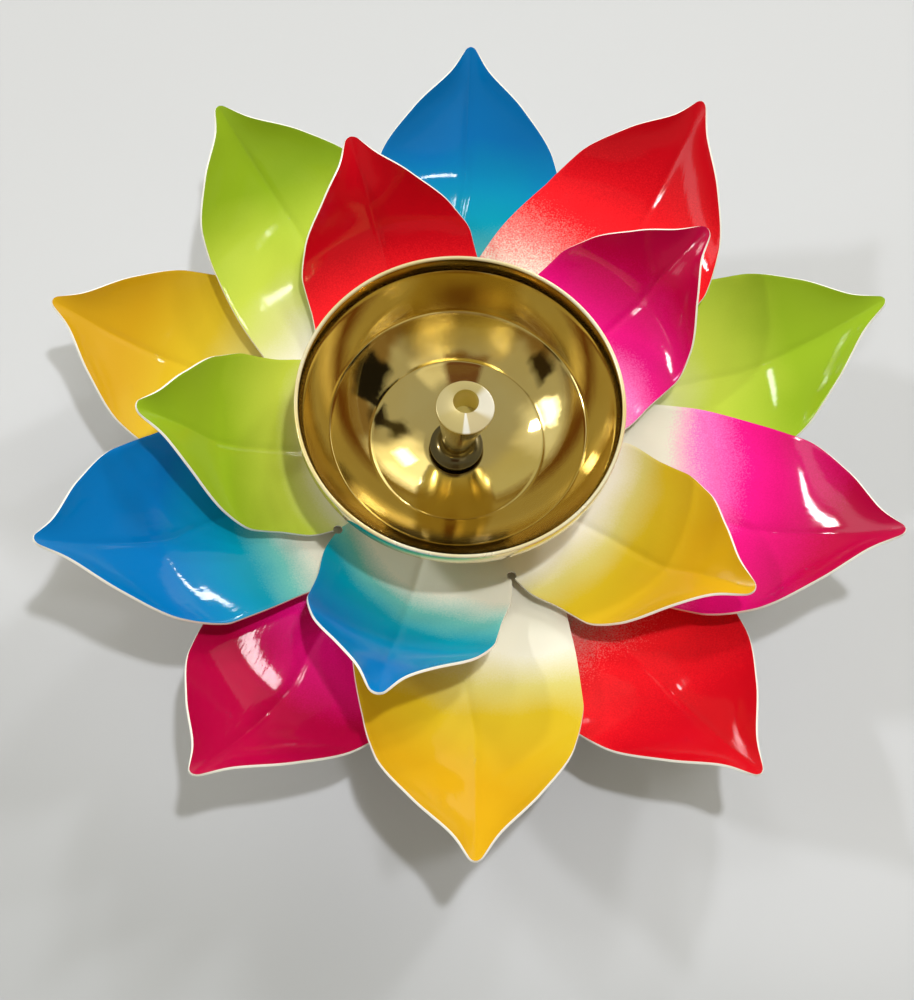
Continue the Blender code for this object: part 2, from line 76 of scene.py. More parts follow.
# direction towards each lamp in degrees, distance and sides in metres. A lamp that isn't seen
# makes no reflection of itself, and some light the petals or the brass alone
lamps = {
    "keyLamp": {
        "azimuth": -8.0, "elevation": 82.0, "distance": 1.06, "wide": 0.05, "tall": 0.05,
        "power": 4.7, "seen": False, "lights": "all",
    },
    "leftWindow": {
        "azimuth": 169.0, "elevation": 38.5, "distance": 2.4, "wide": 0.24, "tall": 0.11,
        "power": 13.0, "seen": True, "lights": "all",
    },
    "backWindow": {
        "azimuth": 54.0, "elevation": 37.0, "distance": 2.4, "wide": 0.20, "tall": 0.36,
        "power": 11.0, "seen": False, "lights": "all",
    },
    "sideWindow": {
        "azimuth": 76.0, "elevation": 33.0, "distance": 2.4, "wide": 0.24, "tall": 0.12,
        "power": 6.0, "seen": True, "lights": "all",
    },
    "topWindow": {
        "azimuth": 55.0, "elevation": 62.0, "distance": 2.4, "wide": 0.13, "tall": 0.30,
        "power": 6.0, "seen": True, "lights": "petals",
    },
    "edgeWindow": {
        "azimuth": 136.0, "elevation": 50.0, "distance": 2.4, "wide": 0.12, "tall": 0.24,
        "power": 4.0, "seen": True, "lights": "petals",
    },
    "lowWindow": {
        "azimuth": 145.0, "elevation": 14.0, "distance": 2.4, "wide": 0.30, "tall": 0.36,
        "power": 10.0, "seen": True, "lights": "petals",
    },
    "skyWindow": {
        "azimuth": 22.0, "elevation": 74.0, "distance": 2.4, "wide": 0.14, "tall": 0.14,
        "power": 4.0, "seen": True, "lights": "petals",
    },
    "backPane": {
        "azimuth": 52.0, "elevation": 41.0, "distance": 2.4, "wide": 0.44, "tall": 0.36,
        "power": 1.9, "seen": True, "lights": "brass",
    },
}

lampColour = (0.985, 0.99, 1.0)


def makeLamps(petals, brassware):
    groups = {"petals": bpy.data.collections.new("petals"), "brass": bpy.data.collections.new("brass")}
    for group, pieces in zip(groups.values(), (petals, brassware)):
        for piece in pieces:
            group.objects.link(piece)
    for name, lamp in lamps.items():
        data = bpy.data.lights.new(name, "AREA")
        data.shape = "RECTANGLE"
        data.size = lamp["wide"]
        data.size_y = lamp["tall"]
        data.energy = lamp["power"]
        data.color = lampColour
        obj = bpy.data.objects.new(name, data)
        bpy.context.scene.collection.objects.link(obj)
        azimuth, elevation = math.radians(lamp["azimuth"]), math.radians(lamp["elevation"])
        level = math.cos(elevation)
        away = Vector((level * math.cos(azimuth), level * math.sin(azimuth), math.sin(elevation)))
        obj.location = away * lamp["distance"] + Vector((0.0, 0.0, rimHeight))
        obj.rotation_euler = away.to_track_quat("Z", "Y").to_euler()
        obj.visible_glossy = lamp["seen"]
        if lamp["lights"] in groups:
            obj.light_linking.receiver_collection = groups[lamp["lights"]]


# the room: its sky from below to above, and the dark and bright things in it, with their middle,
# half sides and edge softness in degrees
room = {
    "sky": (
        (0.0, (0.07, 0.05, 0.035)),
        (0.16, (0.17, 0.13, 0.09)),
        (0.34, (0.45, 0.42, 0.29)),
        (1.0, (0.38, 0.37, 0.30)),
    ),
    "strength": 1.0,
    "floor": (0.625, 0.640, 0.680),
    # painted shade: the floor darkens towards the viewer, where the light falls off
    "paintedNearShade": (0.485, 0.500, 0.525),
    "floorSize": 20.0,
    "floorRoughness": 0.55,
    "floorSpecular": 0.2,
    "floorShade": (-0.05, -0.15),  # where the painted shade of the near floor starts and where it is full, in metres
    "floorSlant": 0.15,
    "things": {
        "southWall": {
            "azimuth": -90.0, "elevation": 6.0, "wide": 58.0, "tall": 16.0, "soft": 8.0,
            "colour": (0.20, 0.125, 0.05),
        },
        "eastWall": {
            "azimuth": 2.0, "elevation": 8.0, "wide": 28.0, "tall": 20.0, "soft": 6.0,
            "colour": (0.22, 0.145, 0.06),
        },
        "doorway": {
            "azimuth": -4.0, "elevation": 25.0, "wide": 15.0, "tall": 11.0, "soft": 2.0,
            "colour": (0.012, 0.010, 0.007),
        },
        "doorTop": {
            "azimuth": 15.0, "elevation": 36.0, "wide": 10.0, "tall": 5.0, "soft": 2.0,
            "colour": (0.02, 0.015, 0.01),
        },
        "doorEnd": {
            "azimuth": 28.0, "elevation": 46.0, "wide": 7.0, "tall": 6.0, "soft": 2.0,
            "colour": (0.05, 0.04, 0.02),
        },
        "viewer": {
            "azimuth": -86.0, "elevation": 10.0, "wide": 26.0, "tall": 14.0, "soft": 10.0,
            "colour": (0.13, 0.065, 0.033),
        },
        "hands": {
            "azimuth": -86.0, "elevation": 60.0, "wide": 24.0, "tall": 9.0, "soft": 3.0,
            "colour": (0.15, 0.07, 0.035),
        },
        "shade": {
            "azimuth": -49.0, "elevation": 55.0, "wide": 14.0, "tall": 8.0, "soft": 5.0,
            "colour": (0.75, 0.72, 0.58),
        },
        "shelf": {
            "azimuth": -152.0, "elevation": 25.0, "wide": 9.0, "tall": 6.0, "soft": 1.0,
            "colour": (0.03, 0.02, 0.01),
        },
        "wall": {
            "azimuth": 138.0, "elevation": 28.0, "wide": 28.0, "tall": 16.0, "soft": 9.0,
            "colour": (0.50, 0.47, 0.28),
        },
        "leftGlow": {
            "azimuth": 168.0, "elevation": 34.0, "wide": 12.0, "tall": 8.0, "soft": 12.0,
            "colour": (0.75, 0.73, 0.60),
        },
        "leftPane": {
            "azimuth": 177.0, "elevation": 29.5, "wide": 9.0, "tall": 4.0, "soft": 2.0,
            "colour": (4.0, 4.0, 4.0),
        },
        "backGlow": {
            "azimuth": 57.0, "elevation": 34.0, "wide": 13.0, "tall": 16.0, "soft": 12.0,
            "colour": (1.35, 1.28, 1.00),
        },
        "backLow": {
            "azimuth": 62.0, "elevation": 13.0, "wide": 9.0, "tall": 13.0, "soft": 9.0,
            "colour": (1.9, 1.8, 1.5),
        },
    },
}


def makeRoom():
    world = bpy.data.worlds.new("room")
    bpy.context.scene.world = world
    world.use_nodes = True
    nodes = world.node_tree.nodes
    links = world.node_tree.links
    nodes.clear()
    coords = nodes.new("ShaderNodeTexCoord").outputs["Generated"]
    split = nodes.new("ShaderNodeSeparateXYZ")
    ramp = nodes.new("ShaderNodeValToRGB")
    sky = nodes.new("ShaderNodeBackground")
    out = nodes.new("ShaderNodeOutputWorld")
    fillRamp(ramp, room["sky"])
    links.new(coords, split.inputs[0])
    links.new(split.outputs["Z"], ramp.inputs[0])
    ripple = rangeNode(nodes, links, noiseNode(nodes, links, coords, 5.0, 3.0), 0.3, 0.7, -3.0, 3.0)
    azimuth = mathNode(nodes, links, "ARCTAN2", split.outputs["Y"], split.outputs["X"])
    azimuth = mathNode(nodes, links, "MULTIPLY", azimuth, math.degrees(1.0))
    elevation = mathNode(nodes, links, "ARCSINE", split.outputs["Z"], 0.0)
    elevation = mathNode(nodes, links, "MULTIPLY", elevation, math.degrees(1.0))
    colour = ramp.outputs[0]
    for thing in room["things"].values():
        mask = 1.0
        for angle, middle, half in ((azimuth, "azimuth", "wide"), (elevation, "elevation", "tall")):
            apart = mathNode(nodes, links, "SUBTRACT", angle, thing[middle])
            apart = mathNode(nodes, links, "PINGPONG", apart, 180.0)
            apart = mathNode(nodes, links, "ADD", apart, ripple)
            end = thing[half] + thing["soft"]
            inside = rangeNode(nodes, links, apart, thing[half], end, 1.0, 0.0, smooth=True)
            mask = mathNode(nodes, links, "MULTIPLY", inside, mask)
        colour = mixNode(nodes, links, mask, colour, thing["colour"])
    sky.inputs["Strength"].default_value = room["strength"]
    links.new(colour, sky.inputs["Color"])
    links.new(sky.outputs[0], out.inputs[0])
    floorMesh = bmesh.new()
    bmesh.ops.create_grid(floorMesh, x_segments=1, y_segments=1, size=room["floorSize"])
    floor = newObject("floor", floorMesh, [floorPaint()])


# Helpers for nodes and meshes

def fillRamp(ramp, stops):
    points = ramp.color_ramp.elements
    while len(points) < len(stops):
        points.new(0.5)
    for point, (place, colour) in zip(points, stops):
        point.position = place
        point.color = (*colour, 1.0)


def newFinish(name):
    finish = bpy.data.materials.new(name)
    finish.use_nodes = True
    nodes = finish.node_tree.nodes
    links = finish.node_tree.links
    return finish, nodes, links, nodes["Principled BSDF"]


def noiseNode(nodes, links, source, scale, detail):
    noise = nodes.new("ShaderNodeTexNoise")
    noise.inputs["Scale"].default_value = scale
    noise.inputs["Detail"].default_value = detail
    links.new(source, noise.inputs["Vector"])
    return noise.outputs["Fac"]


def rangeNode(nodes, links, source, fromLow, fromHigh, toLow, toHigh, smooth=False):
    node = nodes.new("ShaderNodeMapRange")
    node.interpolation_type = "SMOOTHSTEP" if smooth else "LINEAR"
    values = {"From Min": fromLow, "From Max": fromHigh, "To Min": toLow, "To Max": toHigh}
    for socket, value in values.items():
        node.inputs[socket].default_value = value
    links.new(source, node.inputs["Value"])
    return node.outputs["Result"]


def mathNode(nodes, links, operation, first, second):
    node = nodes.new("ShaderNodeMath")
    node.operation = operation
    for socket, value in zip(node.inputs, (first, second)):
        if isinstance(value, (int, float)):
            socket.default_value = value
        else:
            links.new(value, socket)
    return node.outputs[0]


def mixNode(nodes, links, factor, first, second, blend="MIX"):
    node = nodes.new("ShaderNodeMix")
    node.data_type = "RGBA"
    node.blend_type = blend
    sockets = (node.inputs[0], node.inputs[6], node.inputs[7])
    for socket, value in zip(sockets, (factor, first, second)):
        if isinstance(value, (int, float)):
            socket.default_value = value
        elif isinstance(value, tuple):
            socket.default_value = (*value, 1.0)
        else:
            links.new(value, socket)
    return node.outputs[2]


def bumpNode(nodes, links, shader, height, strength, distance):
    bump = nodes.new("ShaderNodeBump")
    bump.inputs["Strength"].default_value = strength
    bump.inputs["Distance"].default_value = distance
    links.new(height, bump.inputs["Height"])
    links.new(bump.outputs[0], shader.inputs["Normal"])


def newObject(name, builder, finishes, smooth=True):
    mesh = bpy.data.meshes.new(name)
    builder.to_mesh(mesh)
    builder.free()
    for finish in finishes:
        mesh.materials.append(finish)
    obj = bpy.data.objects.new(name, mesh)
    bpy.context.scene.collection.objects.link(obj)
    if smooth:
        mesh.shade_smooth()
    return obj


def applyAll(obj):
    graph = bpy.context.evaluated_depsgraph_get()
    made = bpy.data.meshes.new_from_object(obj.evaluated_get(graph))
    obj.modifiers.clear()
    obj.data = made


def arcPoints(middle, radius, start, end, steps):
    points = []
    for step in range(steps + 1):
        angle = math.radians(start + (end - start) * step / steps)
        points.append((middle[0] + radius * math.cos(angle), middle[1] + radius * math.sin(angle)))
    return points


def spinProfile(profile, steps, closed):
    builder = bmesh.new()
    corners = [builder.verts.new((radius, 0.0, height)) for radius, height in profile]
    edges = [builder.edges.new(pair) for pair in zip(corners, corners[1:])]
    if closed:
        edges.append(builder.edges.new((corners[-1], corners[0])))
    bmesh.ops.spin(
        builder, geom=corners + edges, cent=(0, 0, 0), axis=axisZ, angle=math.tau, steps=steps,
        use_merge=True,
    )
    bmesh.ops.remove_doubles(builder, verts=builder.verts[:], dist=1e-7)
    bmesh.ops.recalc_face_normals(builder, faces=builder.faces[:])
    return builder


def smoothThrough(stations, at):
    last = len(stations) - 2
    slopes = [(b[1] - a[1]) / (b[0] - a[0]) for a, b in zip(stations, stations[1:])]
    tangents = [slopes[0]]
    for before, after in zip(slopes, slopes[1:]):
        tangents.append(0.0 if before * after <= 0.0 else 2.0 * before * after / (before + after))
    tangents.append(slopes[-1])
    span = 0
    while span < last and at > stations[span + 1][0]:
        span += 1
    (x0, y0), (x1, y1) = stations[span], stations[span + 1]
    width = x1 - x0
    t = min(max((at - x0) / width, 0.0), 1.0)
    held = y0 * (1 + 2 * t) * (1 - t) ** 2 + y1 * t * t * (3 - 2 * t)
    return held + tangents[span] * width * t * (1 - t) ** 2 - tangents[span + 1] * width * t * t * (1 - t)


# Finishes

def floorPaint():
    finish, nodes, links, shader = newFinish("floorPaint")
    coords = nodes.new("ShaderNodeTexCoord").outputs["Object"]
    split = nodes.new("ShaderNodeSeparateXYZ")
    links.new(coords, split.inputs[0])
    cloud = rangeNode(nodes, links, noiseNode(nodes, links, coords, 6.0, 2.0), 0.3, 0.7, -0.03, 0.03)
    slant = mathNode(nodes, links, "MULTIPLY", split.outputs["X"], room["floorSlant"])
    slant = mathNode(nodes, links, "ADD", slant, split.outputs["Y"])
    slant = mathNode(nodes, links, "ADD", slant, cloud)
    # painted shade: the floor darkens towards the viewer and a little to the left
    starts, full = room["floorShade"]
    paintedShadeShare = rangeNode(nodes, links, slant, starts, full, 0.0, 1.0, smooth=True)
    tone = mixNode(nodes, links, paintedShadeShare, room["floor"], room["paintedNearShade"])
    links.new(tone, shader.inputs["Base Color"])
    shader.inputs["Roughness"].default_value = room["floorRoughness"]
    shader.inputs["Specular IOR Level"].default_value = room["floorSpecular"]
    return finish


enamel = {
    "cream": (0.80, 0.78, 0.66),
    "edge": (0.92, 0.90, 0.82),
    "edgeRoughness": 0.22,
    "roughness": 0.06,
    "dustRoughness": 0.26,  # of the dry overspray where the colour starts
    "specular": 0.17,
    "deepening": 0.18,  # of a petal, from the full spray to its deep colour
    "driftScale": 30.0,
    "drift": 0.035,
    "grainScale": 2600.0,
    "peelScale": 160.0,
    "peelDepth": 0.013 * mm,
    "ripples": (56.0, 22.0, 1.0),  # across and along a petal
    "rippleDepth": 0.018 * mm,
}

# light tint, spray and deep colour of each paint, and the grain of its spray
sprays = {
    "red": {
        "tint": (0.82, 0.24, 0.22), "spray": (0.92, 0.014, 0.022),
        "deep": (0.52, 0.003, 0.010), "grain": 0.035,
    },
    "magenta": {
        "tint": (0.95, 0.20, 0.58), "spray": (0.80, 0.007, 0.240),
        "deep": (0.41, 0.002, 0.045), "grain": 0.018,
    },
    "yellow": {
        "tint": (0.64, 0.57, 0.17), "spray": (0.61, 0.435, 0.018),
        "deep": (0.58, 0.325, 0.008), "grain": 0.006,
    },
    "blue": {
        "tint": (0.14, 0.47, 0.43), "spray": (0.001, 0.275, 0.390),
        "deep": (0.001, 0.155, 0.445), "grain": 0.008,
    },
    "green": {
        "tint": (0.60, 0.63, 0.22), "spray": (0.48, 0.575, 0.060),
        "deep": (0.265, 0.405, 0.016), "grain": 0.006,
    },
}
colourOrder = ("red", "magenta", "yellow", "blue", "green")
petalCount = len(colourOrder)  # of every tier


def enamelPaint(name, spray, start, end, slant):
    finish, nodes, links, shader = newFinish(name)
    uv = nodes.new("ShaderNodeUVMap").outputs[0]
    coords = nodes.new("ShaderNodeTexCoord").outputs["Object"]
    split = nodes.new("ShaderNodeSeparateXYZ")
    links.new(uv, split.inputs[0])
    drift = noiseNode(nodes, links, coords, enamel["driftScale"], 2.0)
    drift = rangeNode(nodes, links, drift, 0.3, 0.7, -enamel["drift"], enamel["drift"])
    grain = noiseNode(nodes, links, coords, enamel["grainScale"], 2.0)
    grain = rangeNode(nodes, links, grain, 0.3, 0.7, -spray["grain"], spray["grain"])
    across = rangeNode(nodes, links, split.outputs["X"], 0.0, 1.0, slant, -slant)
    along = mathNode(nodes, links, "ADD", split.outputs["Y"], drift)
    along = mathNode(nodes, links, "ADD", along, grain)
    along = mathNode(nodes, links, "ADD", along, across)
    ramp = nodes.new("ShaderNodeValToRGB")
    fillRamp(ramp, (
        (start, enamel["cream"]),
        (0.5 * (start + end), spray["tint"]),
        (end, spray["spray"]),
        (min(end + enamel["deepening"], 1.0), spray["deep"]),
    ))
    links.new(along, ramp.inputs[0])
    links.new(ramp.outputs[0], shader.inputs["Base Color"])
    rough, glossy = enamel["dustRoughness"], enamel["roughness"]
    gloss = rangeNode(nodes, links, along, start, end, rough, glossy, smooth=True)
    links.new(gloss, shader.inputs["Roughness"])
    shader.inputs["Specular IOR Level"].default_value = enamel["specular"]
    peel = noiseNode(nodes, links, coords, enamel["peelScale"], 2.0)
    peel = mathNode(nodes, links, "MULTIPLY", peel, enamel["peelDepth"])
    stretch = nodes.new("ShaderNodeMapping")
    stretch.inputs["Scale"].default_value = enamel["ripples"]
    links.new(uv, stretch.inputs["Vector"])
    ripple = noiseNode(nodes, links, stretch.outputs[0], 1.0, 2.0)
    ripple = mathNode(nodes, links, "MULTIPLY", ripple, enamel["rippleDepth"])
    bumpNode(nodes, links, shader, mathNode(nodes, links, "ADD", peel, ripple), 1.0, 1.0)
    return finish


def creamPaint(name, colour):
    finish, nodes, links, shader = newFinish(name)
    coords = nodes.new("ShaderNodeTexCoord").outputs["Object"]
    cloud = noiseNode(nodes, links, coords, 40.0, 3.0)
    tone = mixNode(nodes, links, cloud, colour, tuple(0.92 * part for part in colour))
    links.new(tone, shader.inputs["Base Color"])
    shader.inputs["Roughness"].default_value = enamel["edgeRoughness"]
    peel = noiseNode(nodes, links, coords, enamel["peelScale"], 3.0)
    bumpNode(nodes, links, shader, peel, 1.0, enamel["peelDepth"])
    return finish


brass = {
    "lacquer": 0.6,
    "lacquerRoughness": 0.06,
    "lineSpacing": 0.12 * mm,
    "waveScale": 210.0,
    "waveDepth": 0.012 * mm,
    "paintedFlangeShade": (0.150, 0.115, 0.045),  # painted shade on the flange of the wick post, standing for its dark reflection
    "paintedShadeFade": 2.5 * mm,
    "faced": (0.64, 0.53, 0.23),
    # painted highlights of the faced disc, bright sectors where its turned lines catch the light: their
    # direction, the cosines they start and end at, and colour
    "paintedHighlightSectors": (
        (170.0, 0.70, 0.95, (0.68, 0.58, 0.30)),
        (-22.0, 0.45, 0.62, (0.72, 0.61, 0.36)),
        (18.0, 0.70, 0.92, (1.0, 0.95, 0.82)),
        (-82.0, 0.985, 0.998, (1.0, 0.98, 0.90)),
    ),
    "facedMetal": 0.5,
    "facedRoughness": 0.3,
}

# two tones of each turned face, its roughness, the depth of its lines and how brushed it looks
turned = {
    "bowlBrass": {
        "light": (0.87, 0.70, 0.29), "warm": (0.81, 0.615, 0.21),
        "roughness": 0.05, "lines": 0.0004 * mm, "brushed": 0.3, "metal": 1.0,
    },
    # painted highlight: the lip is a pale, part metal copy of the brass, so the rim shows a bright line all
    # round
    "paintedHighlightLip": {
        "light": (1.0, 0.95, 0.74), "warm": (0.87, 0.70, 0.29),
        "roughness": 0.28, "lines": 0.0004 * mm, "brushed": 0.0, "metal": 0.4,
    },
    "postBrass": {
        "light": (0.78, 0.67, 0.30), "warm": (0.62, 0.50, 0.20),
        "roughness": 0.2, "lines": 0.0008 * mm, "brushed": 0.3, "metal": 1.0,
    },
    "boredBrass": {
        "light": (0.72, 0.62, 0.16), "warm": (0.87, 0.70, 0.29),
        "roughness": 0.3, "lines": 0.0, "brushed": 0.0, "metal": 0.4,
    },
}


def turnedBrass(name, paintedShadeTop=None):
    face = turned[name]
    finish, nodes, links, shader = newFinish(name)
    coords = nodes.new("ShaderNodeTexCoord").outputs["Object"]
    cloud = noiseNode(nodes, links, coords, 55.0, 4.0)
    share = rangeNode(nodes, links, cloud, 0.35, 0.70, 0.0, 1.0)
    tone = mixNode(nodes, links, share, face["light"], face["warm"])
    split = nodes.new("ShaderNodeSeparateXYZ")
    links.new(coords, split.inputs[0])
    # painted shade: the colour darkens towards the bottom, over the flange
    if paintedShadeTop:
        full = paintedShadeTop - brass["paintedShadeFade"]
        paintedShade = rangeNode(nodes, links, split.outputs["Z"], paintedShadeTop, full, 0.0, 1.0, smooth=True)
        tone = mixNode(nodes, links, paintedShade, tone, brass["paintedFlangeShade"])
    links.new(tone, shader.inputs["Base Color"])
    shader.inputs["Metallic"].default_value = face["metal"]
    low, high = 0.7 * face["roughness"], 1.5 * face["roughness"]
    links.new(rangeNode(nodes, links, cloud, 0.2, 0.8, low, high), shader.inputs["Roughness"])
    shader.inputs["Anisotropic"].default_value = face["brushed"]
    shader.inputs["Coat Weight"].default_value = brass["lacquer"]
    shader.inputs["Coat Roughness"].default_value = brass["lacquerRoughness"]
    xSquared = mathNode(nodes, links, "POWER", split.outputs["X"], 2.0)
    ySquared = mathNode(nodes, links, "POWER", split.outputs["Y"], 2.0)
    radius = mathNode(nodes, links, "POWER", mathNode(nodes, links, "ADD", xSquared, ySquared), 0.5)
    phase = mathNode(nodes, links, "ADD", radius, split.outputs["Z"])
    phase = mathNode(nodes, links, "MULTIPLY", phase, math.tau / brass["lineSpacing"])
    lines = mathNode(nodes, links, "MULTIPLY", mathNode(nodes, links, "SINE", phase, 0.0), face["lines"])
    waves = noiseNode(nodes, links, coords, brass["waveScale"], 2.0)
    waves = mathNode(nodes, links, "MULTIPLY", waves, brass["waveDepth"])
    bumpNode(nodes, links, shader, mathNode(nodes, links, "ADD", lines, waves), 1.0, 1.0)
    return finish


def facedBrass(name, middle):
    finish, nodes, links, shader = newFinish(name)
    coords = nodes.new("ShaderNodeTexCoord").outputs["Object"]
    split = nodes.new("ShaderNodeSeparateXYZ")
    links.new(coords, split.inputs[0])
    x = mathNode(nodes, links, "SUBTRACT", split.outputs["X"], middle[0])
    y = mathNode(nodes, links, "SUBTRACT", split.outputs["Y"], middle[1])
    angle = mathNode(nodes, links, "ARCTAN2", y, x)
    tone = brass["faced"]
    # painted highlights: bright sectors mixed into the disc's colour by angle
    for direction, starts, ends, colour in brass["paintedHighlightSectors"]:
        apart = mathNode(nodes, links, "SUBTRACT", angle, math.radians(direction))
        lobe = mathNode(nodes, links, "COSINE", apart, 0.0)
        share = rangeNode(nodes, links, lobe, starts, ends, 0.0, 1.0, smooth=True)
        tone = mixNode(nodes, links, share, tone, colour)
    links.new(tone, shader.inputs["Base Color"])
    shader.inputs["Metallic"].default_value = brass["facedMetal"]
    shader.inputs["Roughness"].default_value = brass["facedRoughness"]
    return finish


hardware = {
    "zinc": ((0.60, 0.60, 0.61), (0.46, 0.47, 0.49)),
    "zincRoughness": (0.25, 0.45),
    "rubber": ((0.035, 0.034, 0.033), (0.06, 0.058, 0.055)),
    "rubberRoughness": 0.65,
    "rubberDepth": 0.02 * mm,
}


def zincSteel(name):
    finish, nodes, links, shader = newFinish(name)
    coords = nodes.new("ShaderNodeTexCoord").outputs["Object"]
    cloud = noiseNode(nodes, links, coords, 400.0, 4.0)
    tone = mixNode(nodes, links, cloud, *hardware["zinc"])
    links.new(tone, shader.inputs["Base Color"])
    shader.inputs["Metallic"].default_value = 1.0
    roughness = rangeNode(nodes, links, cloud, 0.2, 0.8, *hardware["zincRoughness"])
    links.new(roughness, shader.inputs["Roughness"])
    return finish


def sealRubber(name):
    finish, nodes, links, shader = newFinish(name)
    coords = nodes.new("ShaderNodeTexCoord").outputs["Object"]
    cloud = noiseNode(nodes, links, coords, 900.0, 3.0)
    tone = mixNode(nodes, links, cloud, *hardware["rubber"])
    links.new(tone, shader.inputs["Base Color"])
    shader.inputs["Roughness"].default_value = hardware["rubberRoughness"]
    bumpNode(nodes, links, shader, cloud, 0.5, hardware["rubberDepth"])
    return finish


# Petal tiers. Stations run from 0 at the slot end to 1 at the tip

outerPetal = {
    "slotRadius": 41.0 * mm,
    "reach": 103.0 * mm,
    "tipRadius": 1.6 * mm,
    "halfWidth": ((0.16, 24.8), (0.32, 25.5), (0.48, 25.0), (0.64, 22.0), (0.78, 13.9), (0.91, 4.6)),
    "rise": ((0.0, 4.0), (0.27, 9.0), (0.54, 11.6), (0.78, 18.6), (1.0, 28.0)),
    "edgeLift": ((0.0, 1.4), (0.30, 1.9), (0.54, 3.1), (0.78, 4.4), (1.0, 0.0)),
}
innerPetal = {
    "slotRadius": 36.0 * mm,
    "reach": 77.0 * mm,
    "tipRadius": 2.0 * mm,
    "halfWidth": ((0.16, 22.6), (0.31, 21.9), (0.45, 21.9), (0.58, 18.9), (0.71, 11.4), (0.85, 4.8)),
    "rise": ((0.0, 3.6), (0.28, 6.6), (0.52, 11.0), (0.75, 19.5), (1.0, 25.0)),
    "edgeLift": ((0.0, 1.4), (0.28, 1.5), (0.52, 2.1), (0.75, 3.6), (1.0, 0.0)),
}
sheet = {
    "thickness": 0.6 * mm,
    "holeRadius": 3.3 * mm,
    "hubFlat": 14.0 * mm,
    "relief": 1.1 * mm,
    "reliefPin": 20.0 * mm,
    "crease": 0.3,
    "foldDepth": 0.8 * mm,
    "foldWidth": 4.5 * mm,
    "veinDepth": 0.28 * mm,
    "veinWidth": 0.95 * mm,
    "tipFlank": 31.0,  # degrees
    "tipFlat": 0.3 * mm,
    "columns": 56,
    "rows": 84,
    "hubShare": 0.18,  # of the rows
    "columnCrowd": 1.3,  # towards the crease
    "rowCrowd": 1.25,  # towards the tip
    "edgeRound": 0.15 * mm,
}

# each petal's hand bends: lean, tilt and twist in degrees, sweep and drawing in of the tip in mm
# then its spray: where it starts, where it is full, and how much later that is on one side
tiers = {
    "lowerPetals": {
        "node": "lower_tier", "body": "lower_petals", "shape": outerPetal, "turn": -47.0,
        "bends": (
            (2.9, -2.7, -1.7, -2.6, -2.7),
            (4.5, -2.2, -1.9, -6.7, 1.5),
            (-1.2, -6.0, 0.3, 0.1, 0.0),
            (-3.0, -1.1, -1.5, 0.6, -1.6),
            (-3.0, 0.0, 3.4, 3.3, -5.2),
        ),
        "sprays": (
            (0.48, 0.63, 0.0), (0.36, 0.54, 0.0), (0.42, 0.66, 0.0),
            (0.40, 0.62, 0.0), (0.44, 0.64, 0.0),
        ),
    },
    "middlePetals": {
        "node": "middle_tier", "body": "middle_petals", "shape": outerPetal, "turn": 61.0,
        "bends": (
            (-4.4, 1.0, -0.5, 7.0, -1.0),
            (-2.0, 2.1, 2.8, 4.9, -1.2),
            (3.0, -0.8, -9.0, -3.9, -0.3),
            (4.7, 5.4, -3.2, -4.6, 3.6),
            (-2.7, -1.0, 3.3, 3.4, 1.8),
        ),
        "sprays": (
            (0.50, 0.65, 0.0), (0.50, 0.68, 0.0), (0.50, 0.66, 0.08),
            (0.40, 0.55, 0.07), (0.42, 0.62, 0.0),
        ),
    },
    "upperPetals": {
        "node": "upper_tier", "body": "upper_petals", "shape": innerPetal, "turn": 117.0,
        "bends": (
            (-1.0, 3.2, -0.6, 0.9, 0.7),
            (-0.3, 1.1, 5.1, 0.4, -0.1),
            (-2.0, 1.0, 7.0, 1.9, -1.4),
            (-0.6, 14.0, 7.4, 1.6, 4.5),
            (2.5, 8.2, -9.0, -3.6, 4.0),
        ),
        "sprays": (
            (0.40, 0.56, 0.0), (0.44, 0.62, 0.0), (0.49, 0.65, 0.0),
            (0.48, 0.64, 0.10), (0.42, 0.56, 0.0),
        ),
    },
}


def petalHalfWidth(shape, radius):
    slot, tip = shape["slotRadius"], shape["tipRadius"]
    flankEnd = shape["reach"] - tip + tip * math.sin(math.radians(sheet["tipFlank"]))
    if radius > flankEnd:
        return max(math.sqrt(max(tip ** 2 - (radius - shape["reach"] + tip) ** 2, 0.0)), sheet["tipFlat"])
    length = shape["reach"] - slot
    start = (0.0, slot * math.sin(math.pi / petalCount) / mm)
    end = ((flankEnd - slot) / length, tip * math.cos(math.radians(sheet["tipFlank"])) / mm)
    return smoothThrough((start,) + shape["halfWidth"] + (end,), (radius - slot) / length) * mm


